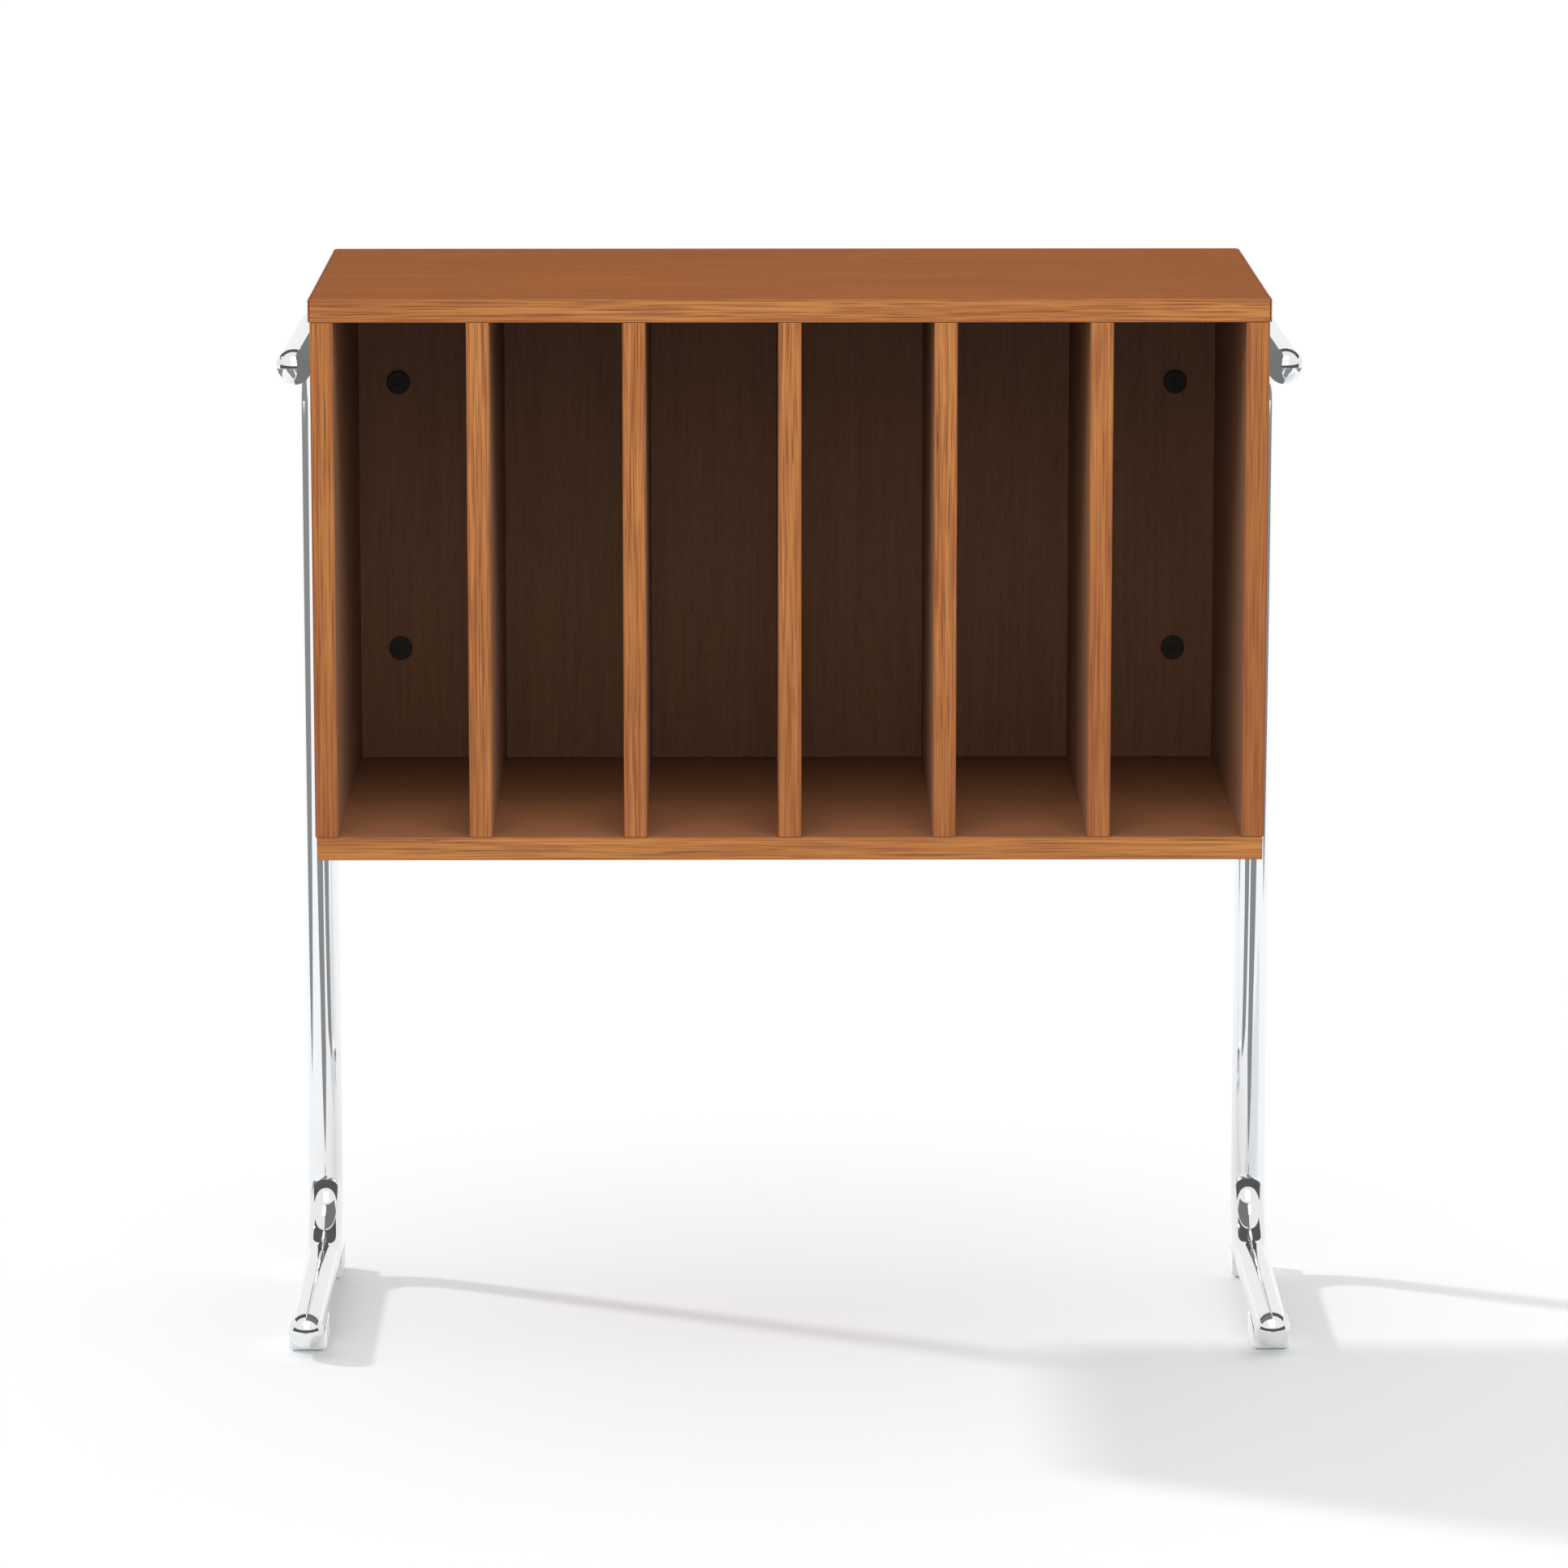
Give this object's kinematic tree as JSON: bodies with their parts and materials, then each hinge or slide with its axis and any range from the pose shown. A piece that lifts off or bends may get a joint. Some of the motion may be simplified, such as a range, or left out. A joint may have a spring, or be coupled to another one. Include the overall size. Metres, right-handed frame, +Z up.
{
  "type": "magazine rack",
  "caption": "Open-fronted magazine rack: a wood-veneered case split by upright dividers, held between C-shaped chromed tube side frames that stand on saddle glides.",
  "frame": {"origin": "on the floor, under the centre of the whole rack's bounding box", "axes": "+Z up, the open front faces -Y, +X to the right of someone facing the open front"},
  "size_m": [0.7174, 0.3506, 0.762],
  "materials": {
    "veneer": "satin lacquered wood veneer",
    "edge_band": "satin lacquered solid edge strip",
    "chrome": "bright chromium plate on steel",
    "glide_plastic": "pale translucent plastic",
    "black_steel": "black oxide",
    "zinc_steel": "zinc plate",
    "dowel_wood": "bare beech"
  },
  "bodies": {
    "root": {"top_board": "veneer", "bottom_board": "veneer", "side_panel_left": "veneer", "side_panel_right": "veneer", "divider_1": "veneer", "divider_2": "veneer", "divider_3": "veneer", "divider_4": "veneer", "divider_5": "veneer", "back_panel": "veneer", "band_top": "edge_band", "band_bottom": "edge_band", "band_side_left": "edge_band", "band_side_right": "edge_band", "band_divider_1": "edge_band", "band_divider_2": "edge_band", "band_divider_3": "edge_band", "band_divider_4": "edge_band", "band_divider_5": "edge_band", "band_top_left": "edge_band", "band_top_right": "edge_band", "side_frame_left": "chrome", "side_frame_right": "chrome", "arm_end_left": "chrome", "arm_end_right": "chrome", "foot_end_left": "chrome", "foot_end_right": "chrome", "bracket_upper_left": "chrome", "bracket_upper_right": "chrome", "bracket_lower_left": "chrome", "bracket_lower_right": "chrome", "glide_front_left": "glide_plastic", "glide_front_right": "glide_plastic", "glide_rear_left": "glide_plastic", "glide_rear_right": "glide_plastic", "back_bolt_upper_left": "black_steel", "back_bolt_upper_right": "black_steel", "back_bolt_lower_left": "black_steel", "back_bolt_lower_right": "black_steel", "nut_upper_left": "zinc_steel", "nut_upper_right": "zinc_steel", "nut_lower_left": "zinc_steel", "nut_lower_right": "zinc_steel", "side_bolt_left": "zinc_steel", "side_bolt_right": "zinc_steel", "arm_insert_left": "zinc_steel", "arm_insert_right": "zinc_steel", "cover_cap_left": "edge_band", "cover_cap_right": "edge_band", "dowel_upper_front_left": "dowel_wood", "dowel_upper_front_right": "dowel_wood", "dowel_upper_rear_left": "dowel_wood", "dowel_upper_rear_right": "dowel_wood", "dowel_lower_front_left": "dowel_wood", "dowel_lower_front_right": "dowel_wood", "dowel_lower_rear_left": "dowel_wood", "dowel_lower_rear_right": "dowel_wood"}
  },
  "joints": []
}
